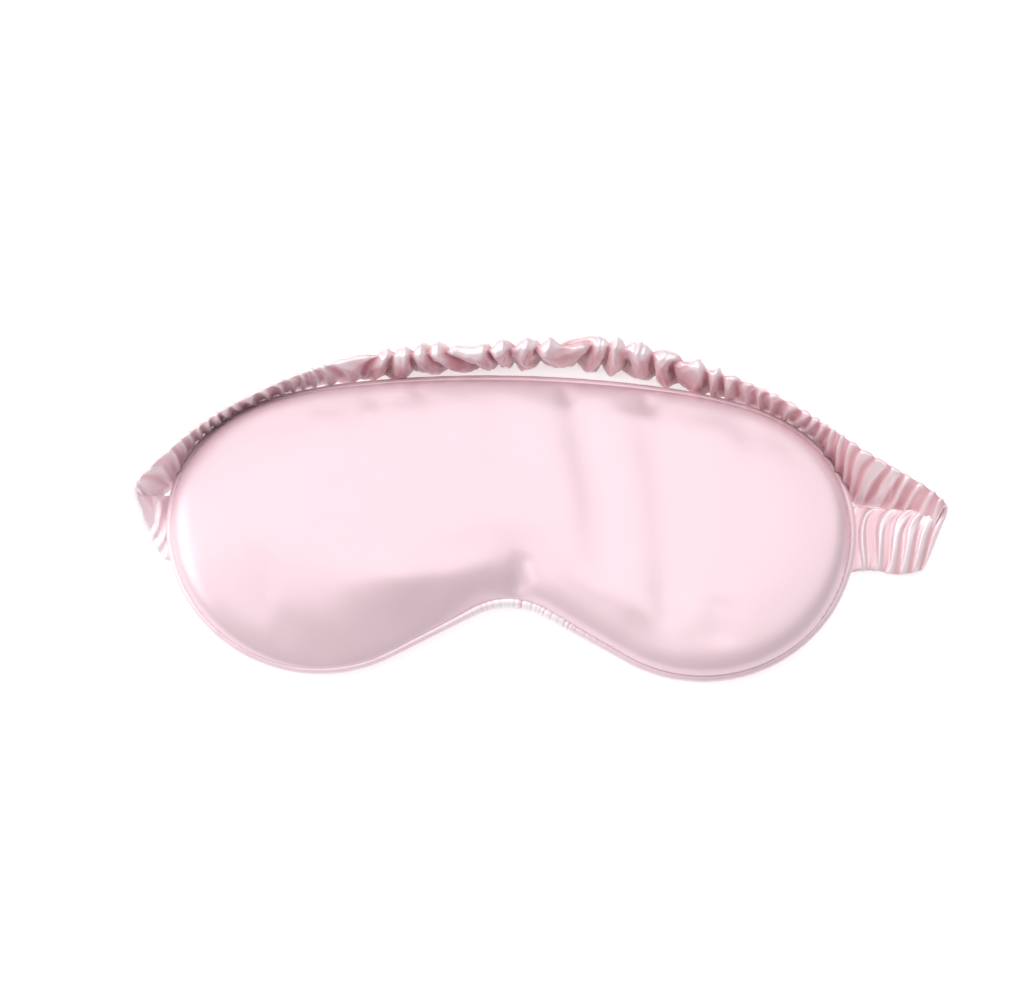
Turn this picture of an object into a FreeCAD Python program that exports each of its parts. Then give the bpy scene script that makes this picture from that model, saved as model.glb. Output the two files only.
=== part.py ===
"""Padded satin sleep eye mask with a ruched elastic strap, lying face up on a flat surface.

Frame, in millimetres: +X to the right seen from above with the nose notch towards the viewer,
+Y from the notch to the brow edge, +Z up, away from the surface.
The origin is on the surface, under the middle of the line that joins the two strap seams.
Every inset is measured inwards from the outside of the piping.
"""

import FreeCAD
import Part

import math
import os

Vector = FreeCAD.Vector
UP = Vector(0, 0, 1)

# Outline: from the middle of the brow to the middle of the nose notch, as tangent stretches.
BROW_Y = 49.8
OUTLINE_ARCS = [(384.0, 7.5), (140.0, 9.5), (56.0, 18.0), (38.5, 55.0), (47.5, 118.5)]  # radius, turn
NOTCH_RADIUS, NOTCH_TURN = 21.4, 28.5

# Rim: the piping stands outside the seam, and its flange is sewn between the two panels.
SEAM_Z = 5.0
PIPING_RADIUS, PIPING_CORD_RADIUS = 1.3, 0.75
SEAM_INSET = 2.65
FLANGE_THICKNESS, FLANGE_WIDTH = 0.6, 5.0
FLANGE_START = 2.4  # just inside the piping, so that strip and flange are one piece

# Panels and what they hold. A crown rises over its run, from the seam to a flat middle.
PANEL_THICKNESS = 0.6
FRONT_CROWN, FRONT_RUN = 10.2, 27.0
BACK_CROWN, BACK_RUN = SEAM_Z - FLANGE_THICKNESS / 2, 13.0
BACK_RUN_SHORTER = 3.0  # the wadding's run, against the panel's
CROWN_STEPS = 6
LINING_THICKNESS = 0.4
WADDING_GAP = 0.15
WADDING_START = 2.4

# Stitches.
STITCH_LENGTH, STITCH_PITCH, THREAD = 3.0, 4.0, 0.35
STITCH_INSET = SEAM_INSET + 1.3

# Strap: a satin casing round a flat elastic.
STRAP_WIDTH, STRAP_THICKNESS = 21.0, 2.8
CASING_WALL = 0.5
ELASTIC_WIDTH, ELASTIC_THICKNESS = 16.0, 1.0
TAB_END_X, TAB_INNER_X = 105.6, 94.5
TAB_Z, TAB_THICKNESS = 2.3, 2.0
TAB_POCKET_END_X = 100.6
TACK_COUNT, TACK_LENGTH, TACK_INSET = 9, 3.0, 4.0
BODY_GAP = 0.4

# Where the band runs. Each station is a point on the lower edge and the point across from it
# on the upper edge. The left end turns up at its seam. The right end lies flat and folds back.
LEFT_END = [
    ((-106.0, -10.5, 2.3), (-106.0, 10.5, 2.3)),
    ((-107.2, -10.2, 2.3), (-107.2, 9.9, 2.6)),
    ((-109.2, -8.8, 2.3), (-109.4, 8.0, 5.2)),
    ((-111.2, -6.4, 2.0), (-111.2, 5.2, 9.6)),
    ((-113.6, -3.2, 1.7), (-113.6, 2.8, 12.8)),
    ((-115.2, 0.8, 1.5), (-115.4, 3.0, 15.2)),
    ((-115.4, 5.4, 1.2), (-115.6, 6.2, 17.4)),
    ((-113.8, 10.2, 0.9), (-113.9, 10.8, 19.4)),
    ((-111.2, 14.8, 0.6), (-111.2, 15.2, 20.8)),
]
RIGHT_END = [
    ((106.0, -10.5, 2.3), (106.0, 10.5, 2.3)),
    ((107.2, -10.5, 2.3), (107.4, 10.5, 2.4)),
    ((112.2, -10.8, 2.7), (113.0, 9.4, 3.6)),
    ((118.0, -11.0, 3.9), (119.6, 8.2, 7.0)),
]
RIGHT_FOLD = ((123.4, -8.9, 3.5), (127.8, 9.4, 10.2))
RIGHT_BACK = [
    ((121.0, 1.0, 1.5), (124.0, 18.4, 9.2)),
    ((117.8, 11.2, 1.3), (119.2, 22.2, 17.6)),
]
FOLD_RADIUS, FOLD_STATIONS = 2.1, 5
# The rear stands on its edge. Each station is the middle of the band and its outward lean.
REAR_HEIGHT, REAR_LEAN = 10.8, 0.7
REAR = [
    (-107.4, 20.2),
    (-101.4, 27.2),
    (-93.2, 34.2),
    (-82.2, 41.2),
    (-70.0, 46.0),
    (-54.0, 49.8),
    (-30.0, 54.8),
    (-4.0, 57.8),
    (22.0, 57.6),
    (48.0, 53.4),
    (66.0, 48.0),
    (82.4, 41.8),
    (96.6, 33.4),
    (106.0, 25.8),
    (112.6, 20.4),
]
REAR_FIRST, REAR_LAST = 5, 10
STEPS_PER_SPAN = 6


def save(name, shape):
    """Writes one named piece, after a look at its solids."""
    solids = shape.Solids
    if not solids or not all(s.isValid() for s in solids):
        raise ValueError(name + " is not made of valid solids")
    Part.makeCompound(solids).exportStep(os.path.join("parts", name + ".step"))
    print(name, len(solids), "solid(s),", round(shape.Volume), "mm3")


# ---------------------------------------------------------------- outline


def outline_half(inset, z):
    """The right half of the outline, moved inwards by the inset, from the brow to the notch."""
    edges, at, heading = [], Vector(0, BROW_Y - inset, z), 0.0

    def arc(radius, turn):
        nonlocal at, heading
        centre = at + Vector(math.sin(heading), -math.cos(heading), 0) * radius
        points = [
            centre + Vector(-math.sin(h), math.cos(h), 0) * radius
            for h in (heading - math.radians(turn) * share for share in (0.5, 1.0))
        ]
        edges.append(Part.Arc(at, *points).toShape())
        at, heading = points[1], heading - math.radians(turn)

    for radius, turn in OUTLINE_ARCS:
        arc(radius - inset, turn)
    notch = NOTCH_RADIUS + inset
    run = (at.x - notch * math.sin(math.radians(NOTCH_TURN))) / math.cos(math.radians(NOTCH_TURN))
    end = at + Vector(math.cos(heading), math.sin(heading), 0) * run
    edges.append(Part.makeLine(at, end))
    at = end
    arc(-notch, -NOTCH_TURN)
    return edges


def outline(inset, z):
    """The whole closed outline at an inset and a height."""
    right = outline_half(inset, z)
    left = [e.mirror(Vector(), Vector(1, 0, 0)) for e in right]
    return Part.Wire(Part.__sortEdges__(right + left))


def sheet(inset, z, thickness, hole_inset=None):
    """A flat layer inside the outline, whole or as a ring."""
    face = Part.Face(outline(inset, z))
    if hole_inset is not None:
        face = face.cut(Part.Face(outline(hole_inset, z)))
    return face.extrude(Vector(0, 0, thickness))


# ---------------------------------------------------------------- panels


def dome(inset, z, crown, run):
    """A solid with the outline for its base, which rises (or sinks) by crown over run."""
    sections = []
    for step in range(CROWN_STEPS + 1):
        share = 1 - math.cos(math.pi / 2 * step / CROWN_STEPS)
        sections.append(outline(inset + share * run, z + crown * math.sqrt(1 - (1 - share) ** 2)))
    return Part.makeLoft(sections, True, True)


def tab_rooms(end_x, growth):
    """The space round each strap tab, out to end_x and grown on its other sides."""
    rooms = []
    for side in (-1, 1):
        inner = TAB_INNER_X - 1 - growth
        rooms.append(
            Part.makeBox(
                end_x - inner,
                STRAP_WIDTH + 2 * (WADDING_GAP + growth),
                SEAM_Z - FLANGE_THICKNESS / 2 - TAB_Z + TAB_THICKNESS / 2 + WADDING_GAP + growth,
                Vector(
                    inner if side > 0 else -end_x,
                    -STRAP_WIDTH / 2 - WADDING_GAP - growth,
                    TAB_Z - TAB_THICKNESS / 2 - WADDING_GAP - growth,
                ),
            )
        )
    return rooms[0].fuse(rooms[1])


def make_panels():
    """The two satin panels: thin crowned shells that meet the piping's flange."""
    top, bottom = SEAM_Z + FLANGE_THICKNESS / 2, SEAM_Z - FLANGE_THICKNESS / 2
    wall = PANEL_THICKNESS
    front = dome(SEAM_INSET, top, FRONT_CROWN, FRONT_RUN).cut(
        dome(SEAM_INSET + wall, top, FRONT_CROWN - wall, FRONT_RUN - wall / 2)
    )
    back = dome(SEAM_INSET, bottom, -BACK_CROWN, BACK_RUN).cut(
        dome(SEAM_INSET + wall, bottom, wall - BACK_CROWN, BACK_RUN)
    )
    # The back panel is drawn over each strap tab.
    back = back.fuse(tab_rooms(TAB_POCKET_END_X, wall)).cut(tab_rooms(TAB_END_X, 0))
    save("front_panel", front)
    save("back_panel", back)


def make_filling():
    """Wadding above and below a light-proof lining."""
    start = SEAM_INSET + WADDING_START
    lining_z = SEAM_Z + FLANGE_THICKNESS / 2
    save("blackout_lining", sheet(start, lining_z, LINING_THICKNESS))
    top = lining_z + LINING_THICKNESS
    rise = FRONT_CROWN - PANEL_THICKNESS - LINING_THICKNESS - 2 * WADDING_GAP
    save("front_wadding", dome(start, top, rise, FRONT_RUN - WADDING_START))
    under = SEAM_INSET + FLANGE_WIDTH + WADDING_GAP
    depth = lining_z - PANEL_THICKNESS - 2 * WADDING_GAP
    wadding = dome(under, lining_z - WADDING_GAP, -depth, BACK_RUN - BACK_RUN_SHORTER)
    save("back_wadding", wadding.cut(tab_rooms(TAB_END_X, PANEL_THICKNESS + WADDING_GAP)))


# ---------------------------------------------------------------- rim


def swept_round(inset, radius):
    """A round bar that follows the outline."""
    path = outline(inset, SEAM_Z)
    start = path.Edges[0]
    at, along = start.valueAt(start.FirstParameter), start.tangentAt(start.FirstParameter)
    pipe = Part.BRepOffsetAPI.MakePipeShell(path)
    pipe.setBiNormalMode(UP)
    pipe.add(Part.Wire(Part.Circle(at, along, radius).toShape()))
    pipe.build()
    pipe.makeSolid()
    return pipe.shape()


def make_piping():
    """A bias strip round a cord. The strip's two edges make the flange."""
    cord = swept_round(PIPING_RADIUS, PIPING_CORD_RADIUS)
    flange = sheet(
        FLANGE_START,
        SEAM_Z - FLANGE_THICKNESS / 2,
        FLANGE_THICKNESS,
        hole_inset=SEAM_INSET + FLANGE_WIDTH,
    )
    cover = swept_round(PIPING_RADIUS, PIPING_RADIUS).fuse(flange).cut(cord)
    save("piping_cover", cover)
    save("piping_cord", cord)


def make_seam_stitches():
    """The lockstitches of the closing seam, lying on the flange inside the front panel."""
    line = outline(STITCH_INSET, SEAM_Z + FLANGE_THICKNESS / 2)
    count = int(line.Length / STITCH_PITCH)
    points = line.discretize(Number=4 * count + 1)
    stitches = []
    for k in range(count):
        a = points[4 * k]
        along = points[4 * k + 3] - a
        angle = math.degrees(math.atan2(along.y, along.x))
        stitch = Part.makeBox(STITCH_LENGTH, THREAD, THREAD, Vector(0, -THREAD / 2, 0))
        stitch.rotate(Vector(), UP, angle)
        stitch.translate(a)
        stitches.append(stitch)
    save("seam_stitches", Part.makeCompound(stitches))


# ---------------------------------------------------------------- strap


def unit(v):
    return v / v.Length


def slopes(points, at):
    """The slope at each point, from the stretches on both sides of it."""
    runs = [b - a for a, b in zip(at, at[1:])]
    steps = [(b - a) / run for a, b, run in zip(points, points[1:], runs)]
    inner = [
        (steps[i] * runs[i + 1] + steps[i + 1] * runs[i]) / (runs[i] + runs[i + 1])
        for i in range(len(steps) - 1)
    ]
    return [steps[0], *inner, steps[-1]]


def between(points, rates, run, i, share):
    """A point on the smooth curve through the points, part of the way from point i to the next."""
    s, r = share, 1 - share
    ends = points[i] * (r * r * (1 + 2 * s)) + points[i + 1] * (s * s * (1 + 2 * r))
    return ends + (rates[i] * r - rates[i + 1] * s) * (s * r * run)


def fold(low, high, outward):
    """Stations round a fold, from its upper layer to its under layer."""
    low, high = Vector(*low), Vector(*high)
    axis = unit(high - low)
    outward = unit(outward - axis * outward.dot(axis))
    above = axis.cross(outward)
    above = above if above.z > 0 else -above
    stations = []
    for k in range(FOLD_STATIONS):
        angle = math.pi * k / (FOLD_STATIONS - 1)
        move = (above * math.cos(angle) + outward * math.sin(angle)) * FOLD_RADIUS
        stations.append((low + move, high + move))
    return stations


def band_edges():
    """The lower and the upper edge of the whole band, from the left seam to the right seam."""
    left = [(Vector(*a), Vector(*b)) for a, b in LEFT_END]
    rear = []
    for x, y in REAR:
        middle, lean = Vector(x, y, REAR_HEIGHT), Vector(x, y, 0) * (REAR_LEAN / math.hypot(x, y))
        half = unit(UP * STRAP_WIDTH + lean) * (STRAP_WIDTH / 2)
        rear.append((middle - half, middle + half))
    right = [(Vector(*a), Vector(*b)) for a, b in RIGHT_END]
    right += fold(*RIGHT_FOLD, Vector(1, 0, 0))
    right += [(Vector(*a), Vector(*b)) for a, b in RIGHT_BACK]
    return left, rear, right[::-1]


def smooth_band():
    """The band as closely spaced (middle, across, out of its face), on smooth curves."""
    edges = [edge for part in band_edges() for edge in part]
    lows, highs = [a for a, _ in edges], [b for _, b in edges]
    middles = [(a + b) / 2 for a, b in edges]
    at = [0.0]
    for a, b in zip(middles, middles[1:]):
        at.append(at[-1] + (b - a).Length)
    runs = [b - a for a, b in zip(at, at[1:])]
    low_rates, high_rates = slopes(lows, at), slopes(highs, at)
    spots = [(i, k / STEPS_PER_SPAN) for i in range(len(runs)) for k in range(STEPS_PER_SPAN)]
    spots.append((len(runs) - 1, 1.0))
    low = [between(lows, low_rates, runs[i], i, share) for i, share in spots]
    high = [between(highs, high_rates, runs[i], i, share) for i, share in spots]
    centres = [(a + b) / 2 for a, b in zip(low, high)]
    band = []
    for k, centre in enumerate(centres):
        across = high[k] - low[k]
        ahead = centres[min(k + 1, len(centres) - 1)] - centres[max(k - 1, 0)]
        band.append((centre, across, unit(across.cross(ahead))))
    return band


def band_rings(stretch, edge, thickness):
    """The corners of a flat bar at each station along the band, kept off the band's edges."""
    rings = []
    for middle, across, face in stretch:
        a, b = unit(across) * (across.Length / 2 - edge), face * (thickness / 2)
        rings.append([middle + p for p in (a + b, b - a, -a - b, a - b)])
    return rings


def ring_sides(rings):
    """The faces that join each ring of corners to the next, two flat triangles to a side."""
    faces = []
    for near, far in zip(rings, rings[1:]):
        for k in range(len(near)):
            j = (k + 1) % len(near)
            faces += [ring_face([near[k], near[j], far[j]]), ring_face([near[k], far[j], far[k]])]
    return faces


def ring_face(ring):
    return Part.Face(Part.makePolygon(ring + ring[:1]))


def closed_solid(faces):
    shell = Part.Shell(faces)
    shell.sewShape()
    solid = Part.Solid(shell)
    if solid.Volume < 0:
        solid.reverse()
    return solid


def band_bar(stretch, edge, thickness):
    """A flat bar along a stretch of the band."""
    rings = band_rings(stretch, edge, thickness)
    return closed_solid([*ring_sides(rings), ring_face(rings[0]), ring_face(rings[-1])])


def band_tube(stretch, thickness, wall):
    """A hollow bar along a stretch of the band, open at both ends."""
    outer, inner = band_rings(stretch, 0, thickness), band_rings(stretch, wall, thickness - 2 * wall)
    faces = ring_sides(outer) + ring_sides(inner)
    for end in (0, -1):
        faces.append(ring_face(outer[end]).cut(ring_face(inner[end])).Faces[0])
    return closed_solid(faces)


def trimmed(stretch, at_start, at_end):
    """The stretch, moved back from its neighbours by half the gap between two bodies."""
    stretch = list(stretch)
    for end, other, wanted in ((0, 1, at_start), (-1, -2, at_end)):
        if wanted:
            middle, across, face = stretch[end]
            towards = unit(stretch[other][0] - middle)
            stretch[end] = (middle + towards * (BODY_GAP / 2), across, face)
    return stretch


def make_strap():
    """Casing and elastic, parted where the left side, the rear and the right side meet."""
    band = smooth_band()
    left_stations = len(band_edges()[0])
    first = STEPS_PER_SPAN * (left_stations + REAR_FIRST)
    last = STEPS_PER_SPAN * (left_stations + REAR_LAST)
    stretches = {"left": band[: first + 1], "rear": band[first : last + 1], "right": band[last:]}
    for name, stretch in stretches.items():
        stretch = trimmed(stretch, name != "left", name != "right")
        edge = (STRAP_WIDTH - ELASTIC_WIDTH) / 2
        save("casing_" + name, band_tube(stretch, STRAP_THICKNESS, CASING_WALL))
        save("elastic_" + name, band_bar(stretch, edge, ELASTIC_THICKNESS))


def tab_bar(side, width, thickness):
    """A flat bar from a tab's inner end to its outer end."""
    x = TAB_INNER_X if side > 0 else -TAB_END_X
    corner = Vector(x, -width / 2, TAB_Z - thickness / 2)
    return Part.makeBox(TAB_END_X - TAB_INNER_X, width, thickness, corner)


def make_tabs():
    """The strap's two sewn ends, with their elastic and bar tacks, under the piping."""
    for name, side in (("left", -1), ("right", 1)):
        elastic = tab_bar(side, ELASTIC_WIDTH, ELASTIC_THICKNESS)
        save("strap_tab_" + name, tab_bar(side, STRAP_WIDTH, TAB_THICKNESS).cut(elastic))
        save("elastic_tab_" + name, elastic)
        tack_x = side * (TAB_INNER_X + TACK_INSET) - TACK_LENGTH / 2
        pitch = ELASTIC_WIDTH / (TACK_COUNT - 1)
        tacks = []
        for k in range(TACK_COUNT):
            y = k * pitch - ELASTIC_WIDTH / 2 - THREAD / 2
            corner = Vector(tack_x, y, TAB_Z + TAB_THICKNESS / 2)
            tacks.append(Part.makeBox(TACK_LENGTH, THREAD, THREAD, corner))
        save("bar_tack_" + name, Part.makeCompound(tacks))


os.makedirs("parts", exist_ok=True)
make_panels()
make_filling()
make_piping()
make_seam_stitches()
make_strap()
make_tabs()
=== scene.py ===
"""Looks of the padded satin sleep eye mask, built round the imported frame.

Lengths are in millimetres in the frame's own axes until a mesh is made, which turns them into metres.
The mask lies face up: +X to the right, +Y towards the brow edge, +Z up.
"""

import math

import bmesh
import bpy
import numpy as np
from mathutils import Matrix, Vector
from mathutils.geometry import delaunay_2d_cdt


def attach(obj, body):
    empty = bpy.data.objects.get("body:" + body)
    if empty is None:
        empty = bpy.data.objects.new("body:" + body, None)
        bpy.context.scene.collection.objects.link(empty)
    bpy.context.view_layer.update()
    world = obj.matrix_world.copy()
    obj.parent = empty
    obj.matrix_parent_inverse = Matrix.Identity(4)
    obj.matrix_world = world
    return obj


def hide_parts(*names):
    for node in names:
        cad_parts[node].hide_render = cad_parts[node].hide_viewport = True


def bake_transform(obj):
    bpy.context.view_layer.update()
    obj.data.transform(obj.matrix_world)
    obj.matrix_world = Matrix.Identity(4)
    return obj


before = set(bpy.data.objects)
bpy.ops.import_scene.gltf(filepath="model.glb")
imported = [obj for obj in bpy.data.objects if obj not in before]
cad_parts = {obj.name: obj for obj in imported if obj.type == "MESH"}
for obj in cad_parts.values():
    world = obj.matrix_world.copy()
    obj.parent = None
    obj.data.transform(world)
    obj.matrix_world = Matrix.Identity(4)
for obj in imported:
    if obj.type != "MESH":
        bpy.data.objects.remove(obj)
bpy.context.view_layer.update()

MM = 0.001

# ---------------------------------------------------------------- driving sizes

# Outline, from the middle of the brow to the middle of the notch, as tangent arcs: radius, turn.
BROW_Y = 49.8
OUTLINE_ARCS = [(384.0, 7.5), (140.0, 9.5), (56.0, 18.0), (38.5, 55.0), (47.5, 118.5)]
NOTCH_RADIUS, NOTCH_TURN = 21.4, 28.5
ARC_STEP = 0.25

SEAM_Z = 5.0
SEAM_INSET = 2.0
PIPING_RADIUS = 1.3

# The front rises from its seam in two steps: a steep shoulder, then a long slope up to its crown.
FRONT_CROWN = 10.6
SHOULDER_HEIGHT, SHOULDER_RUN = 9.4, 2.1
SLOPE_RUN, SLOPE_POWER = 14.0, 1.25
# On the brow side and on the right the shoulder is taller, rises sooner and leans out less.
LEE_SHORTER, LEE_TALLER, LEE_UPRIGHT = 0.6, 0.6, 0.75
# Low on the left lobe the slope takes over most of the shoulder's height and is a little shorter.
LOW_LEFT_SOFTER, LOW_LEFT_SHORTER = 0.8, 2.0
# The front swells out over its seam: least on the brow side, and this much more on the notch side.
SWELL_LEAST, SWELL_MORE = 0.7, 1.3
SWELL_PEAK = 2.0  # how far inside the seam it swells most
NOTCH_PULL, NOTCH_PULL_RUN = 0.9, 7.0  # the notch's middle is drawn back in, less so further inside
BACK_CROWN = 4.5
BACK_RUN, BACK_POWER = 5.0, 1.3

# The two panels stand a little apart where they meet, and so do the lids that close them.
FRONT_LIFT, FRONT_LID_LIFT = 0.2, 0.1
BACK_DROP, BACK_LID_DROP = 0.3, 0.1

# A panel's net: its rings' distances from the seam, points to each ring, and the grid inside them.
FINE_NET = ((0, 0.25, 0.55, 0.9, 1.4, 2.0, 2.7, 3.6, 4.7, 6.0, 7.6, 9.6), 460, 1.7)
CLOTH_NET = ((0, 1.5, 3.5, 6.5), 190, 3.4)
GRID_GAP = 0.55  # between the last ring and the grid, as a share of the grid's pitch

# Cloth simulation of the front panel, swelling from its seam.
CLOTH_PRESSURE = 4.0
CLOTH_FRAMES = 20
CLOTH_SLACK = 0.006  # spare cloth, as a share of its length
CLOTH_CAP = 1.2  # the furthest that a point may move
CLOTH_HELD = 3.0  # how far inside the seam the moves reach their full size

# ---------------------------------------------------------------- helpers


def smooth(t):
    """0 below 0, 1 above 1 and a smooth rise between."""
    t = np.clip(t, 0, 1)
    return t * t * (3 - 2 * t)


def bell(distance, width):
    return np.exp(-((distance / width) ** 2))


def wave_noise(points, scale, seed, octaves=3):
    """Smooth noise in about -1 to 1, as a sum of sine waves in random directions."""
    points = np.asarray(points, float)
    source = np.random.default_rng(seed)
    total = np.zeros(len(points))
    weight = 0.0
    for octave in range(octaves):
        share = 0.5**octave
        for _ in range(6):
            direction = source.normal(size=points.shape[1])
            direction *= 2**octave * 2 * math.pi / (scale * np.linalg.norm(direction))
            total += share * np.sin(points @ direction + source.uniform(0, 2 * math.pi))
        weight += share * 6**0.5
    return total / weight


def nearest(points, line):
    """For each point, which of the line's points is nearest, and how far off that is."""
    index, distance = np.empty(len(points), int), np.empty(len(points))
    for start in range(0, len(points), 2000):
        part = slice(start, start + 2000)
        gaps = np.linalg.norm(points[part, None] - line[None], axis=2)
        index[part], distance[part] = gaps.argmin(1), gaps.min(1)
    return index, distance


def outward_from(line):
    """The unit vector outwards at each point of a closed clockwise line."""
    ahead = np.roll(line, -1, axis=0) - np.roll(line, 1, axis=0)
    ahead /= np.linalg.norm(ahead, axis=1)[:, None]
    return np.column_stack([-ahead[:, 1], ahead[:, 0]])


def tube_faces(count, around, close=False):
    """The faces between rings of points. Where the tube is closed, the last ring joins the first."""
    faces = []
    for k in range(count if close else count - 1):
        a, b = k * around, ((k + 1) % count) * around
        for i in range(around):
            j = (i + 1) % around
            faces.append((a + i, a + j, b + j, b + i))
    return faces


def new_object(name, verts, faces, material=None):
    """A smooth mesh object from points in millimetres."""
    mesh = bpy.data.meshes.new(name)
    places = (np.asarray(verts, float) * MM).tolist()
    mesh.from_pydata(places, [], [tuple(int(i) for i in f) for f in faces])
    mesh.validate()
    mesh.shade_smooth()
    obj = bpy.data.objects.new(name, mesh)
    bpy.context.scene.collection.objects.link(obj)
    if material is not None:
        mesh.materials.append(material)
    return obj


def face_outwards(obj):
    bm = bmesh.new()
    bm.from_mesh(obj.data)
    bmesh.ops.recalc_face_normals(bm, faces=bm.faces)
    bm.to_mesh(obj.data)
    bm.free()


def mark_painted_shading(obj, values):
    """Keep each point's painted shading for the material: painted shade in the folds' valleys, painted
    highlights on their crests.
    """
    obj.data.attributes.new("painted_shading", "FLOAT", "POINT").data.foreach_set("value", values)


# ---------------------------------------------------------------- outline


def arc_points(at, heading, radius, turn):
    """Points along an arc, its end and its last heading. A positive turn is clockwise."""
    turn = math.radians(turn)
    centre = at + np.array([math.sin(heading), -math.cos(heading)]) * radius
    steps = max(2, int(abs(radius * turn) / ARC_STEP))
    headings = heading - turn * np.arange(1, steps + 1) / steps
    points = centre + np.stack([-np.sin(headings), np.cos(headings)], 1) * radius
    return points, points[-1], heading - turn


def outline(inset, count):
    """The closed outline at an inset, as evenly spaced points, clockwise from the brow's middle."""
    at, heading = np.array([0.0, BROW_Y - inset]), 0.0
    half = [at[None]]
    for radius, turn in OUTLINE_ARCS:
        points, at, heading = arc_points(at, heading, radius - inset, turn)
        half.append(points)
    notch, turn = NOTCH_RADIUS + inset, math.radians(NOTCH_TURN)
    run = (at[0] - notch * math.sin(turn)) / math.cos(turn)
    at = at + np.array([math.cos(heading), math.sin(heading)]) * run
    points, _, _ = arc_points(at, heading, -notch, -NOTCH_TURN)
    half = np.concatenate([*half, at[None], points])
    closed = np.concatenate([half, half[-2::-1] * (-1, 1)])
    return even(closed, count)


def even(line, count):
    """A closed line's points, spaced evenly along it."""
    lengths = np.concatenate([[0], np.cumsum(np.linalg.norm(np.diff(line, axis=0), axis=1))])
    wanted = np.linspace(0, lengths[-1], count, endpoint=False)
    return np.stack([np.interp(wanted, lengths, line[:, k]) for k in range(line.shape[1])], 1)


seam_line = outline(SEAM_INSET, 1600)
seam_outward = outward_from(seam_line)


def edge_distance(points):
    """How far each point lies inside the seam."""
    return nearest(points, seam_line)[1]


# ---------------------------------------------------------------- panels


def panel_net(insets, around, pitch):
    """A net of flat points and faces inside the seam: rings along the seam, then a grid."""
    rings = [outline(SEAM_INSET + inset, around) for inset in insets]
    points = list(np.concatenate(rings))
    faces = tube_faces(len(rings), around)
    inner = rings[-1]
    low, high = inner.min(0), inner.max(0)
    xs = np.arange(low[0], high[0], pitch)
    ys = np.arange(low[1], high[1], pitch)
    grid = np.stack(np.meshgrid(xs, ys), -1).reshape(-1, 2)
    grid = grid[inside(grid, inner)]
    grid = grid[nearest(grid, inner)[1] > GRID_GAP * pitch]
    border = [(i, (i + 1) % around) for i in range(around)]
    spots = [Vector(p) for p in np.concatenate([inner, grid])]
    found, _, triangles, _, _, _ = delaunay_2d_cdt(spots, border, [], 1, 1e-6)
    base = (len(rings) - 1) * around
    points = points[:base] + [np.array(p) for p in found]
    faces += [tuple(base + i for i in t) for t in triangles]
    return np.array(points), faces


def inside(points, line):
    """Which points lie inside a closed line."""
    result = np.zeros(len(points), bool)
    for a, b in zip(line, np.roll(line, -1, axis=0)):
        spans = (a[1] > points[:, 1]) != (b[1] > points[:, 1])
        if not spans.any():
            continue
        cross = a[0] + (points[:, 1] - a[1]) * (b[0] - a[0]) / (b[1] - a[1] + 1e-12)
        result ^= spans & (points[:, 0] < cross)
    return result


def line_distance(points, route):
    """Distance from each point to a polyline, and the share along it."""
    route = np.array(route, float)
    best = np.full(len(points), 1e9)
    share = np.zeros(len(points))
    lengths = np.linalg.norm(np.diff(route, axis=0), axis=1)
    before = np.concatenate([[0], np.cumsum(lengths)])
    for k in range(len(route) - 1):
        run = route[k + 1] - route[k]
        t = np.clip(((points - route[k]) @ run) / (run @ run), 0, 1)
        gap = np.linalg.norm(points - route[k] - t[:, None] * run, axis=1)
        nearer = gap < best
        best = np.where(nearer, gap, best)
        share = np.where(nearer, (before[k] + t * lengths[k]) / before[-1], share)
    return best, share


# Soft folds of the front panel: route, half width and height. A negative height is a valley.
FRONT_FOLDS = [
    ([(9.4, 42), (13, 29), (16, 14), (19, -5)], 6.5, 0.8),
    ([(15, 43), (20.5, 31), (26, 10), (28.3, -8), (29.6, -23)], 8.5, -1.5),
    ([(30, 38), (36, 8), (39, -29)], 7.0, 0.7),
    ([(42, 42), (46, 8), (48, -32)], 8.5, -1.2),
    ([(46.5, -16), (48, -32)], 5.0, -0.6),
    ([(62, -20), (62.5, -36)], 5.5, -0.8),
    ([(-4, 43), (-3, 15)], 6.0, -0.45),
    ([(-24, 43), (-24, 18)], 5.0, -0.4),
    ([(15, 46), (17, 38)], 2.6, -0.9),
    ([(40, 44), (42, 36)], 2.6, -0.7),
    ([(-30, 46), (-29, 39)], 2.6, -0.6),
    ([(-43, -19), (-21, -17.5), (-7, -16.5), (2, -15.5)], 7.5, 2.5),
    ([(2.4, -14), (2.4, -29)], 3.2, -2.6),
]
FOLD_FADE = 0.25  # the share of its route along which a fold fades towards each end
FOLD_FADED = 0.6  # the share of its height that it has lost at the very end
FOLD_MARGIN = 5.0  # how far inside the seam the folds reach their full height


def nearest_outward(points):
    """The unit vector from each point to the nearest place on the seam, and its distance."""
    index, distance = nearest(points, seam_line)
    toward = (seam_line[index] - points) / np.maximum(distance, 1e-6)[:, None]
    return np.where(distance[:, None] > 0.4, toward, seam_outward[index]), distance


def notch_share(points):
    """1 in the concave middle of the notch, 0 away from it."""
    return bell(np.hypot(points[:, 0], points[:, 1] + 26), 21)


def low_left_share(points):
    """1 low on the left lobe, 0 away from it."""
    x, y = points[:, 0], points[:, 1]
    return smooth((14 - x) / 20) * smooth((x + 100) / 45) * smooth((-2 - y) / 20)


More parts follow.
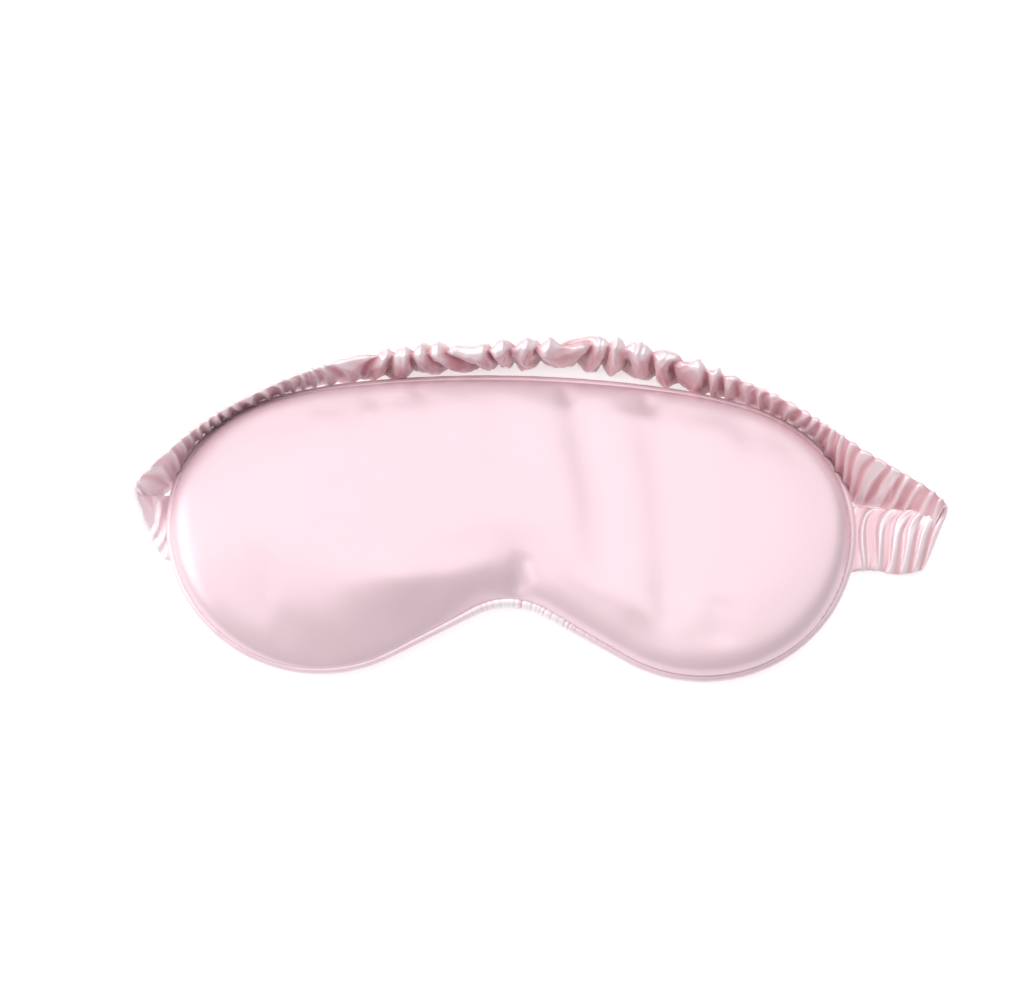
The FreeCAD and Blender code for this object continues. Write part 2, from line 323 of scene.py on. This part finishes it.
def crown_verts(points):
    """The front panel before its folds: a puffed crown that swells out over its own seam."""
    outward, distance = nearest_outward(points)
    low_left = low_left_share(points)
    lee = smooth(0.35 + outward @ (0.5, 0.8))
    shoulder = SHOULDER_HEIGHT * (1 - LOW_LEFT_SOFTER * low_left) + LEE_TALLER * lee
    shoulder_run = SHOULDER_RUN - LEE_SHORTER * lee
    slope_run = SLOPE_RUN - LOW_LEFT_SHORTER * low_left
    height = shoulder * (1 - np.exp(-distance / shoulder_run))
    height += (FRONT_CROWN - shoulder) * (1 - np.exp(-((distance / slope_run) ** SLOPE_POWER)))
    swell = SWELL_LEAST + SWELL_MORE * (0.5 - 0.5 * outward[:, 1])
    swell *= 1 - LEE_UPRIGHT * lee
    swell *= distance / SWELL_PEAK * np.exp(1 - distance / SWELL_PEAK)
    pull = NOTCH_PULL * notch_share(points) * np.exp(-distance / NOTCH_PULL_RUN)
    moved = points + outward * (swell - pull)[:, None]
    return np.column_stack([moved, SEAM_Z + FRONT_LIFT + height])


def fold_height(points):
    """The height of the soft folds at each point."""
    rise = smooth(edge_distance(points) / FOLD_MARGIN)
    height = np.zeros(len(points))
    for route, width, tall in FRONT_FOLDS:
        gap, share = line_distance(points, route)
        whole = smooth(share / FOLD_FADE) * smooth((1 - share) / FOLD_FADE)
        fade = whole * FOLD_FADED + (1 - FOLD_FADED)
        height += tall * bell(gap, width) * fade * rise
    return height


def closed_pad(name, verts, flat, faces, around, lid_z, material=None):
    """A closed pad: its shaped face, a flat lid on the same net, and the border between them."""
    count = len(verts)
    lid = np.column_stack([flat, np.full(count, lid_z)])
    border = []
    for i in range(around):
        j = (i + 1) % around
        border.append((i, count + i, count + j, j))
    closed = faces + [tuple(count + i for i in f[::-1]) for f in faces] + border
    obj = new_object(name, np.concatenate([verts, lid]), closed, material)
    face_outwards(obj)
    return obj


def cloth_moves(shape, lid_z):
    """How cloth pressure swells a shape held at its seam: the flat places and the moves there."""
    flat, faces = panel_net(*CLOTH_NET)
    verts, around, count = shape(flat), CLOTH_NET[1], len(flat)
    obj = closed_pad("swelling", verts, flat, faces, around, lid_z)
    held = obj.vertex_groups.new(name="held")
    held.add(list(range(around)) + list(range(count, 2 * count)), 1.0, "REPLACE")
    cloth = obj.modifiers.new("cloth", "CLOTH")
    settings = cloth.settings
    settings.vertex_group_mass = held.name
    settings.quality = 6
    settings.mass = 0.15
    settings.tension_stiffness = settings.compression_stiffness = 12
    settings.shear_stiffness = 4
    settings.bending_stiffness = 0.4
    settings.use_pressure = True
    settings.uniform_pressure_force = CLOTH_PRESSURE
    settings.shrink_min = settings.shrink_max = -CLOTH_SLACK
    settings.effector_weights.gravity = 0
    cloth.point_cache.frame_end = CLOTH_FRAMES
    scene = bpy.context.scene
    for step in range(1, CLOTH_FRAMES + 1):
        scene.frame_set(step)
    solved = obj.evaluated_get(bpy.context.evaluated_depsgraph_get()).data
    moved = np.array([v.co[:] for v in solved.vertices[:count]]) / MM
    scene.frame_set(1)
    bpy.data.objects.remove(obj)
    moves = moved - verts
    length = np.linalg.norm(moves, axis=1)[:, None]
    return flat, moves * np.minimum(1, CLOTH_CAP / np.maximum(length, 1e-6))


def add_cloth(verts, flat, shape, lid_z):
    """The verts, moved as the simulated cloth moved near them."""
    places, moves = cloth_moves(shape, lid_z)
    result = verts.copy()
    for start in range(0, len(flat), 2000):
        part = slice(start, start + 2000)
        near = bell(np.linalg.norm(flat[part, None] - places[None], axis=2), CLOTH_NET[2])
        result[part] += near @ moves / near.sum(1)[:, None]
    free = smooth(edge_distance(flat) / CLOTH_HELD)[:, None]
    return verts + (result - verts) * free


def make_front_panel(material):
    flat, faces = panel_net(*FINE_NET)
    lid_z = SEAM_Z + FRONT_LID_LIFT
    verts = add_cloth(crown_verts(flat), flat, crown_verts, lid_z)
    verts[:, 2] += fold_height(flat)
    obj = closed_pad("front_panel_satin", verts, flat, faces, FINE_NET[1], lid_z, material)
    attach(obj, "mask")
    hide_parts("front_panel", "front_wadding", "blackout_lining")


def back_verts(points):
    """The back panel: a shallower crown, facing down."""
    height = BACK_CROWN * (1 - np.exp(-((edge_distance(points) / BACK_RUN) ** BACK_POWER)))
    return np.column_stack([points, SEAM_Z - BACK_DROP - height])


def make_back_panel(material):
    flat, faces = panel_net(*FINE_NET)
    verts, lid_z = back_verts(flat), SEAM_Z - BACK_LID_DROP
    obj = closed_pad("back_panel_satin", verts, flat, faces, FINE_NET[1], lid_z, material)
    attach(obj, "mask")
    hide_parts("back_panel", "back_wadding", "strap_tab_left", "strap_tab_right")
    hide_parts("elastic_tab_left", "elastic_tab_right", "bar_tack_left", "bar_tack_right")


# ---------------------------------------------------------------- piping

PIPING_AROUND, PIPING_RINGS = 18, 1700
PIPING_GAP = 0.35  # between the piping and the strap leaning on it
PIPING_UNEVEN = 0.035  # how unevenly the cover fits its cord, as a share of the radius

# The cover is gathered in the notch: wide lands with narrow slits between them.
RUFFLE_X, RUFFLE_Y, RUFFLE_REACH = 6, -27, 18
RUFFLE_PITCH = 1.9
RUFFLE_POWER = 0.3  # a lower power makes the slits narrower
RUFFLE_GROWTH, RUFFLE_RELIEF = 0.6, 0.5  # as shares of the radius
RUFFLE_INWARD = 0.45  # how far the gathered cover stands inwards, as a share of the radius


def piping_ruffle(base):
    """How gathered the cover is at each place, its share from slit (0) to land (1), and its painted shading:
    shade painted into the slits, highlights painted on the lands.
    """
    perimeter = np.linalg.norm(np.roll(base, -1, axis=0) - base, axis=1).sum()
    along = np.arange(PIPING_RINGS) / PIPING_RINGS * perimeter
    notch = bell(np.hypot(base[:, 0] - RUFFLE_X, base[:, 1] - RUFFLE_Y), RUFFLE_REACH)
    drift = wave_noise(base, scale=9, seed=3)
    land = np.abs(np.sin(math.pi * along / RUFFLE_PITCH + 1.6 * drift)) ** RUFFLE_POWER
    deep = 0.35 + 0.65 * smooth(0.5 + 1.2 * wave_noise(base, scale=5, seed=13))
    land = 1 - (1 - land) * deep
    # Painted shading: darker in the notch's slits as painted shade, paler on the lands as a painted
    # highlight; elsewhere a middle value with a little random tone.
    painted_shading = np.clip(0.5 + 0.06 * drift + notch * (1.9 * land - 1.25), 0, 1)
    return notch, land, painted_shading


def make_piping(material):
    base = outline(PIPING_RADIUS, PIPING_RINGS)
    outward = outward_from(base)
    notch, land, painted_shading = piping_ruffle(base)
    uneven = PIPING_UNEVEN * wave_noise(base, scale=7, seed=5)
    radius = 1 + uneven + notch * (RUFFLE_GROWTH + RUFFLE_RELIEF * (land - 0.8))
    radius = PIPING_RADIUS * radius[:, None]
    middle = base - outward * (PIPING_RADIUS * RUFFLE_INWARD * notch)[:, None]
    angles = np.linspace(0, 2 * math.pi, PIPING_AROUND, endpoint=False)
    rings = np.empty((PIPING_RINGS, PIPING_AROUND, 3))
    rings[..., :2] = middle[:, None] + outward[:, None] * (np.cos(angles) * radius)[..., None]
    rings[..., 2] = SEAM_Z + np.sin(angles) * radius
    faces = tube_faces(PIPING_RINGS, PIPING_AROUND, close=True)
    obj = new_object("piping_satin", rings.reshape(-1, 3), faces, material)
    face_outwards(obj)
    mark_painted_shading(obj, np.repeat(painted_shading, PIPING_AROUND))
    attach(obj, "mask")
    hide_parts("piping_cover", "piping_cord", "seam_stitches")


# ---------------------------------------------------------------- strap

STRAP_WIDTH = 21.0  # over which the pattern of folds is laid out
# Where the band's lower and upper edges stand, from its root out to where it has turned back.
LEFT_END = [
    ((-103.0, -11.0, 2.3), (-103.0, 10.4, 2.6)),
    ((-105.0, -10.6, 2.2), (-105.2, 10.0, 3.6)),
    ((-107.2, -8.2, 2.2), (-107.6, 9.1, 6.4)),
    ((-109.2, -5.0, 2.1), (-109.8, 8.2, 10.0)),
    ((-110.8, -1.6, 2.0), (-111.6, 7.3, 13.4)),
    ((-111.8, 2.0, 1.9), (-112.8, 7.6, 16.4)),
    ((-111.6, 5.6, 1.7), (-112.6, 9.4, 18.4)),
    ((-108.9, 9.0, 1.6), (-111.0, 11.8, 19.6)),
    ((-105.8, 10.5, 1.5), (-108.4, 14.4, 20.2)),
    ((-103.9, 13.0, 1.4), (-105.2, 17.6, 20.3)),
]
RIGHT_END = [
    ((103.0, -10.4, 2.3), (103.0, 11.0, 2.8)),
    ((106.0, -9.8, 2.3), (106.0, 11.2, 3.4)),
    ((111.0, -9.6, 2.3), (111.2, 10.4, 4.8)),
    ((117.0, -10.6, 2.3), (117.8, 9.4, 7.4)),
    ((122.8, -9.8, 2.4), (124.8, 8.6, 10.4)),
    ((125.6, -8.2, 2.4), (129.4, 8.0, 13.0)),
    ((126.0, -4.8, 2.3), (130.8, 8.6, 15.2)),
    ((123.8, 1.2, 2.1), (128.6, 11.0, 17.0)),
    ((120.4, 6.2, 1.8), (123.8, 14.0, 18.4)),
    ((116.2, 9.2, 1.6), (118.4, 16.8, 19.2)),
    ((110.4, 11.3, 1.4), (112.8, 19.9, 19.8)),
    ((105.6, 11.4, 1.4), (106.9, 23.2, 20.2)),
    ((103.2, 13.9, 1.4), (101.9, 26.6, 20.3)),
]
# The rear: a place on the brow side of the outline, and how far outside it the band's lower and
# upper edges stand there.
REAR = [
    (-97, 1.2, -0.6),
    (-88, 1.2, -2.0),
    (-78, 1.2, -1.8),
    (-68, 1.3, -0.2),
    (-58, 1.5, 1.4),
    (-47, 1.9, 2.8),
    (-34, 3.2, 3.3),
    (-22, 4.6, 3.2),
    (-10, 5.6, 3.4),
    (2, 5.6, 4.9),
    (14, 6.6, 5.4),
    (26, 6.0, 7.2),
    (38, 5.0, 6.0),
    (48, 3.4, 5.2),
    (56, 2.1, 3.4),
    (68, 1.3, 2.0),
    (80, 1.0, 1.0),
    (92, 1.0, 1.4),
]
REAR_LOW_Z, REAR_HIGH_Z = 1.4, 20.3
RING_STEP = 0.33
STRAP_AROUND = 64
BAND_THICKNESS = 2.2
BAND_NARROWER = 0.4  # kept back from each edge line, so that the folds stay near it
SETTLE_BELOW, FLOOR_GAP = 1.0, 0.2  # lower points are pressed together down to the gap
# The rear is puffed between these, growing to its full size over the run at each.
PUFF_LEFT_X, PUFF_LEFT_RUN = -60, 28
PUFF_RIGHT_X, PUFF_RIGHT_RUN = 74, 26
ROOT_RUN = 5  # the folds grow over this length from each root
FRONT_REACH_LEFT, FRONT_REACH_RIGHT = 24, 27  # how far the band's front stretches reach from its roots


def band_stations():
    """The band's lower and upper edge points, from its left root round the rear to its right root."""
    line = outline(0, 2000)
    outward = outward_from(line)
    brow = line[:, 1] > 8
    line, outward = line[brow], outward[brow]
    rear = []
    for x, low, high in REAR:
        k = np.abs(line[:, 0] - x).argmin()
        lower = (*(line[k] + outward[k] * low), REAR_LOW_Z)
        upper = (*(line[k] + outward[k] * high), REAR_HIGH_Z)
        rear.append((lower, upper))
    stations = np.array(LEFT_END + rear + RIGHT_END[::-1])
    return stations[:, 0], stations[:, 1]


def curve_through(points, at, wanted):
    """Smooth curve through the points, Hermite with weighted slopes."""
    points, at = np.asarray(points, float), np.asarray(at, float)
    steps = np.diff(points, axis=0) / np.diff(at)[:, None]
    runs = np.diff(at)[:, None]
    inner = (steps[:-1] * runs[1:] + steps[1:] * runs[:-1]) / (runs[:-1] + runs[1:])
    rates = np.concatenate([steps[:1], inner, steps[-1:]])
    k = np.clip(np.searchsorted(at, wanted, side="right") - 1, 0, len(at) - 2)
    run = (at[k + 1] - at[k])[:, None]
    s = ((wanted - at[k]) / run[:, 0])[:, None]
    r = 1 - s
    ends = points[k] * (r * r * (1 + 2 * s)) + points[k + 1] * (s * s * (1 + 2 * r))
    return ends + (rates[k] * r - rates[k + 1] * s) * (s * r * run)


def fold_profile(phase, lean, power):
    """One gather to each whole phase, from 0 to 1. A high power makes its crest narrow."""
    leant = phase + lean * np.sin(2 * math.pi * phase) / (2 * math.pi)
    return (0.5 - 0.5 * np.cos(2 * math.pi * leant)) ** power


def clear_of_piping(points):
    """The points, moved straight outwards wherever they would touch the piping."""
    reach = PIPING_RADIUS + PIPING_GAP
    line = outline(0, 2400)
    near = np.abs(points[:, 2] - SEAM_Z) < reach
    part = points[near]
    k, _ = nearest(part[:, :2], line)
    outward = outward_from(line)[k]
    beyond = ((part[:, :2] - line[k]) * outward).sum(1)
    least = np.sqrt(reach**2 - (part[:, 2] - SEAM_Z) ** 2) - PIPING_RADIUS
    part[:, :2] += outward * np.maximum(0, least - beyond)[:, None]
    result = points.copy()
    result[near] = part
    return result


def settle(height):
    """Heights, pressed softly together just over the floor."""
    span = SETTLE_BELOW - FLOOR_GAP
    pressed = FLOOR_GAP + span * np.exp((height - SETTLE_BELOW) / span)
    return np.where(height < SETTLE_BELOW, pressed, height)


# The gathers: first where the band lies flat, then what its puffed rear has more than that.
GATHER_PITCH = (4.3, 4.2)
GATHER_DEPTH = (1.45, 1.65)
GATHER_POWER = (1.9, -1.4)
SECOND_DEPTH = (0.45, 0.35)
THIRD_DEPTH = (0.10, 0.14)
HALF_THICKNESS = (BAND_THICKNESS / 2, 0.7)
SECOND_RATE, THIRD_RATE = 1.73, 3.1  # finer folds to each of the main gathers


def make_band():
    """The band's rings of points, its painted shading, the rings' places and their middles."""
    lows, highs = band_stations()
    middles = (lows + highs) / 2
    at = np.concatenate([[0], np.cumsum(np.linalg.norm(np.diff(middles, axis=0), axis=1))])
    fine = np.arange(0, at[-1], RING_STEP)
    low, high = curve_through(lows, at, fine), curve_through(highs, at, fine)
    centre = (low + high) / 2
    across = high - low
    width = np.linalg.norm(across, axis=1)
    across /= width[:, None]
    ahead = np.gradient(centre, axis=0)
    face = np.cross(across, ahead)
    face /= np.linalg.norm(face, axis=1)[:, None]
    angles = np.linspace(0, 2 * math.pi, STRAP_AROUND, endpoint=False)
    c, s = np.cos(angles)[None], np.sin(angles)[None]
    total = fine[-1]
    u = np.repeat(fine[:, None], STRAP_AROUND, 1)
    v = np.repeat(c, len(fine), 0) * STRAP_WIDTH / 2
    side = np.repeat(s, len(fine), 0)
    x = centre[:, 0]
    puff = smooth((x - PUFF_LEFT_X) / PUFF_LEFT_RUN) * smooth((PUFF_RIGHT_X - x) / PUFF_RIGHT_RUN)
    puff = puff[:, None]
    ends = (smooth(fine / ROOT_RUN) * smooth((total - fine) / ROOT_RUN))[:, None]
    front = (bell(fine, FRONT_REACH_LEFT) + bell(total - fine, FRONT_REACH_RIGHT))[:, None]

    def noise(scale, seed, across_scale):
        spots = np.column_stack([u.ravel(), (v * across_scale).ravel(), (side * 5).ravel()])
        return wave_noise(spots, scale, seed, octaves=2).reshape(u.shape)

    def puffed(flat, more):
        return flat + more * puff

    count = np.cumsum(RING_STEP / puffed(*GATHER_PITCH), axis=0)
    slant = 0.045 * noise(60, seed=5, across_scale=0.2)
    phase = count + (0.55 + 0.4 * front) * noise(30, seed=11, across_scale=0.55) + slant * v
    lean = 0.75 * noise(26, seed=17, across_scale=0.3)
    lean = lean * (1 - puff) + puff * np.abs(lean)
    main = fold_profile(phase, lean, puffed(*GATHER_POWER))
    drift = 0.5 * noise(22, seed=23, across_scale=0.8)
    second = fold_profile(phase * SECOND_RATE + drift, -lean, 1.2)
    drift = 0.6 * noise(12, seed=29, across_scale=0.9)
    third = fold_profile(phase * THIRD_RATE + drift, 0.3, 1.0)
    some = smooth(0.5 + 0.9 * noise(18, seed=41, across_scale=0.5))
    lively = 0.85 + 0.35 * noise(14, seed=31, across_scale=0.4)
    depth = puffed(*GATHER_DEPTH) * lively * (0.25 + 0.75 * ends) * (1 - 0.35 * front)
    shift = depth * (main - 0.42)
    shift += puffed(*SECOND_DEPTH) * some * (second - 0.4) * ends
    shift += puffed(*THIRD_DEPTH) * (third - 0.5) * ends
    half_width = (width / 2)[:, None] - BAND_NARROWER
    half_thick = puffed(*HALF_THICKNESS)
    wide = half_width * np.sign(c) * np.abs(c) ** 0.8 + shift * c * (0.25 + 0.6 * puff)
    wide -= np.maximum(0, -c) * puff * 1.3 * (main - 0.5)
    thick = (half_thick + shift) * np.sign(s) * np.abs(s) ** (0.75 - 0.2 * puff)
    rings = centre[:, None] + across[:, None] * wide[..., None] + face[:, None] * thick[..., None]
    # Only what lies behind the mask leans on its piping.
    rear = (centre[:, 1] > 13) & (np.abs(x) < 104)
    rings[rear] = clear_of_piping(rings[rear].reshape(-1, 3)).reshape(-1, STRAP_AROUND, 3)
    rings[..., 2] = settle(rings[..., 2])
    # Painted shading: highlights painted on the crests and shade in the valleys; painted light added near
    # the roots and on the left; on the puffed rear the lower half is painted darker and the top paler.
    raised = 0.8 * main + 0.35 * some * second
    painted_light = 0.25 * front + 0.3 * smooth((-40 - x) / 20)[:, None]
    painted_shading = (0.32 + 0.7 * raised + painted_light) * (1 - puff) + (raised - 0.62 * (0.55 - c)) * puff
    return rings, np.clip(painted_shading, 0, 1), fine, centre


STRAP_PIECES = ("strap_end_left", "strap_side_left", "strap_rear", "strap_side_right", "strap_end_right")
END_LENGTH = 13.0  # of the first and the last piece, along the band
REAR_LEFT_X, REAR_RIGHT_X = -54.0, 66.0  # where the rear piece starts and ends


def whole_normals(rings):
    """The normals of the whole band, so that its pieces meet without a crease."""
    whole = new_object("strap_whole", rings.reshape(-1, 3), tube_faces(*rings.shape[:2]))
    face_outwards(whole)
    normals = np.array([v.normal[:] for v in whole.data.vertices])
    bpy.data.objects.remove(whole)
    return normals


def strap_piece(name, rings, painted_shading, normals, material):
    """One closed piece of the band, with the whole band's normals."""
    count, around = rings.shape[:2]
    faces = tube_faces(count, around)
    first, last = count * around, count * around + 1
    for i in range(around):
        j = (i + 1) % around
        faces.append((first, j, i))
        faces.append((last, first - around + i, first - around + j))
    verts = np.concatenate([rings.reshape(-1, 3), rings[0].mean(0)[None], rings[-1].mean(0)[None]])
    obj = new_object(name, verts, faces, material)
    face_outwards(obj)
    loops = []
    for poly in obj.data.polygons:
        cap = any(v >= first for v in poly.vertices)
        loops += [poly.normal[:] if cap else normals[v].tolist() for v in poly.vertices]
    obj.data.normals_split_custom_set(loops)
    mark_painted_shading(obj, np.append(painted_shading.ravel(), (0, 0)))
    return obj


def make_strap(material):
    rings, painted_shading, fine, centre = make_band()
    normals = whole_normals(rings)
    x, behind = centre[:, 0], centre[:, 1] > 30
    rear_left = int(np.argmax((x > REAR_LEFT_X) & behind))
    rear_right = int(np.argmax((x > REAR_RIGHT_X) & behind))
    end_left = int(np.argmax(fine > END_LENGTH))
    end_right = int(np.argmax(fine > fine[-1] - END_LENGTH))
    cuts = [0, end_left, rear_left, rear_right, end_right, len(rings) - 1]
    pieces = []
    for name, a, b in zip(STRAP_PIECES, cuts, cuts[1:]):
        part = slice(a * STRAP_AROUND, (b + 1) * STRAP_AROUND)
        pieces.append(strap_piece(name, rings[a : b + 1], painted_shading[a : b + 1], normals[part], material))
    left, side_left, rear, side_right, right = pieces
    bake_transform(left)
    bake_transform(right)
    for piece, sign, start, cut in ((side_left, -1, -0.108, rear_left), (side_right, 1, 0.113, rear_right)):
        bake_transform(piece)
    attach(rear, "strap_rear")
    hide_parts("casing_left", "elastic_left")
    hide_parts("casing_right", "elastic_right")
    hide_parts("casing_rear", "elastic_rear")


# ---------------------------------------------------------------- materials

# Colours, each from the deepest to the lightest. The panel's vary at random; the piping's and the strap's
# run from painted shade to painted highlight.
PANEL_COLOURS = [(0.84, 0.61, 0.67), (0.86, 0.65, 0.71)]
PIPING_SHADE_TO_HIGHLIGHT = [(0.70, 0.38, 0.46), (0.90, 0.67, 0.73), (0.93, 0.75, 0.81), (0.98, 0.92, 0.95)]
STRAP_SHADE_TO_HIGHLIGHT = [(0.43, 0.18, 0.21), (0.80, 0.45, 0.49), (0.92, 0.65, 0.69), (0.96, 0.82, 0.86)]


def satin(name, colours, roughness, metallic, painted_shading=None):
    """Satin: a smooth float weave whose gloss is part of the way to a metal's.

    colours go from the deepest to the lightest. They vary in soft clouds, or, where an attribute is named,
    with the mesh's painted shading: from painted shade in the folds' valleys to painted highlights on their
    crests.
    """
    material = bpy.data.materials.new(name)
    material.use_nodes = True
    nodes, links = material.node_tree.nodes, material.node_tree.links
    shader = nodes["Principled BSDF"]
    shader.inputs["Metallic"].default_value = metallic
    shader.inputs["IOR"].default_value = 1.9
    shader.inputs["Sheen Weight"].default_value = 0.12
    shader.inputs["Sheen Roughness"].default_value = 0.4
    where = nodes.new("ShaderNodeTexCoord")
    cloud = nodes.new("ShaderNodeTexNoise")
    cloud.inputs["Scale"].default_value = 28
    cloud.inputs["Detail"].default_value = 3
    links.new(where.outputs["Object"], cloud.inputs["Vector"])
    ramp = nodes.new("ShaderNodeValToRGB")
    stops = ramp.color_ramp.elements
    while len(stops) < len(colours):
        stops.new(0.5)
    for k, colour in enumerate(colours):
        stops[k].position = k / (len(colours) - 1)
        stops[k].color = (*colour, 1)
    source = cloud.outputs["Fac"]
    # The piping and the strap take their base colour from painted shading: painted shade in the folds,
    # painted highlights on the crests.
    if painted_shading:
        painted_shading_input = nodes.new("ShaderNodeAttribute")
        painted_shading_input.attribute_name = painted_shading
        source = painted_shading_input.outputs["Fac"]
    links.new(source, ramp.inputs["Fac"])
    links.new(ramp.outputs["Color"], shader.inputs["Base Color"])
    gloss = nodes.new("ShaderNodeMapRange")
    gloss.inputs["To Min"].default_value = roughness - 0.04
    gloss.inputs["To Max"].default_value = roughness + 0.04
    links.new(cloud.outputs["Fac"], gloss.inputs["Value"])
    links.new(gloss.outputs["Result"], shader.inputs["Roughness"])
    weave = nodes.new("ShaderNodeTexWave")
    weave.inputs["Scale"].default_value = 900
    weave.inputs["Distortion"].default_value = 2.0
    weave.inputs["Detail"].default_value = 2
    links.new(where.outputs["Object"], weave.inputs["Vector"])
    bump = nodes.new("ShaderNodeBump")
    bump.inputs["Strength"].default_value = 0.05
    bump.inputs["Distance"].default_value = 0.0002
    links.new(weave.outputs["Fac"], bump.inputs["Height"])
    links.new(bump.outputs["Normal"], shader.inputs["Normal"])
    return material


# ---------------------------------------------------------------- studio

CAMERA_ELEVATION = 75.0
CAMERA_DISTANCE = 780.0
CAMERA_LENS = 89.4
CAMERA_AIM = (1.6, 9.3, 8.0)
CAMERA_ROLL = 1.2

# The lights and the floor, in metres and watts.
KEY_PLACE, KEY_SIZE, KEY_POWER = (-1.1, 0.0, 0.75), (0.8, 0.9), 8.0
TOP_PLACE, TOP_SIZE, TOP_POWER = (0.08, 0.3, 1.3), (1.7, 1.4), 10.5
WORLD_COLOUR, WORLD_STRENGTH = (1.0, 0.985, 1.0, 1), 0.40
FLOOR_HALF, FLOOR_Z = 6.0, -0.0002
FLOOR_COLOUR, FLOOR_GLOW = (0.65, 0.65, 0.65, 1), 0.55


def make_camera():
    data = bpy.data.cameras.new("camera")
    data.lens = CAMERA_LENS
    data.clip_start, data.clip_end = 0.01, 10
    camera = bpy.data.objects.new("camera", data)
    bpy.context.scene.collection.objects.link(camera)
    aim = Vector(CAMERA_AIM)
    tilt = math.radians(CAMERA_ELEVATION)
    back = Vector((0, -math.cos(tilt), math.sin(tilt)))
    turn = (-back).to_track_quat("-Z", "Y").to_matrix().to_4x4()
    roll = Matrix.Rotation(math.radians(CAMERA_ROLL), 4, "Z")
    camera.matrix_world = Matrix.Translation((aim + back * CAMERA_DISTANCE) * MM) @ turn @ roll
    bpy.context.scene.camera = camera


def make_light(name, place, size, power):
    """A rectangular light, aimed at the frame's origin."""
    data = bpy.data.lights.new(name, "AREA")
    data.shape = "RECTANGLE"
    data.size, data.size_y = size
    data.energy = power
    light = bpy.data.objects.new(name, data)
    light.location = place
    light.rotation_euler = (-Vector(place)).to_track_quat("-Z", "Y").to_euler()
    bpy.context.scene.collection.objects.link(light)


def make_studio():
    scene = bpy.context.scene
    scene.view_settings.view_transform = "Standard"
    world = bpy.data.worlds.new("studio")
    world.use_nodes = True
    background = world.node_tree.nodes["Background"]
    background.inputs["Color"].default_value = WORLD_COLOUR
    background.inputs["Strength"].default_value = WORLD_STRENGTH
    scene.world = world
    make_light("key", KEY_PLACE, KEY_SIZE, KEY_POWER)
    make_light("top", TOP_PLACE, TOP_SIZE, TOP_POWER)
    corners = np.array([(-1, -1, 0), (1, -1, 0), (1, 1, 0), (-1, 1, 0)])
    floor = new_object("floor", corners * FLOOR_HALF / MM, [(0, 1, 2, 3)])
    floor.location.z = FLOOR_Z
    paint = bpy.data.materials.new("floor")
    paint.use_nodes = True
    shader = paint.node_tree.nodes["Principled BSDF"]
    shader.inputs["Base Color"].default_value = FLOOR_COLOUR
    shader.inputs["Roughness"].default_value = 0.8
    shader.inputs["Emission Color"].default_value = (1, 1, 1, 1)
    shader.inputs["Emission Strength"].default_value = FLOOR_GLOW
    floor.data.materials.append(paint)


# ---------------------------------------------------------------- scene

make_camera()
make_studio()
panel = satin("panel_satin", PANEL_COLOURS, roughness=0.40, metallic=0.28)
piping = satin("piping_satin", PIPING_SHADE_TO_HIGHLIGHT, roughness=0.38, metallic=0.15, painted_shading="painted_shading")
strap = satin("strap_satin", STRAP_SHADE_TO_HIGHLIGHT, roughness=0.3, metallic=0.2, painted_shading="painted_shading")
make_front_panel(panel)
make_back_panel(panel)
make_piping(piping)
make_strap(strap)
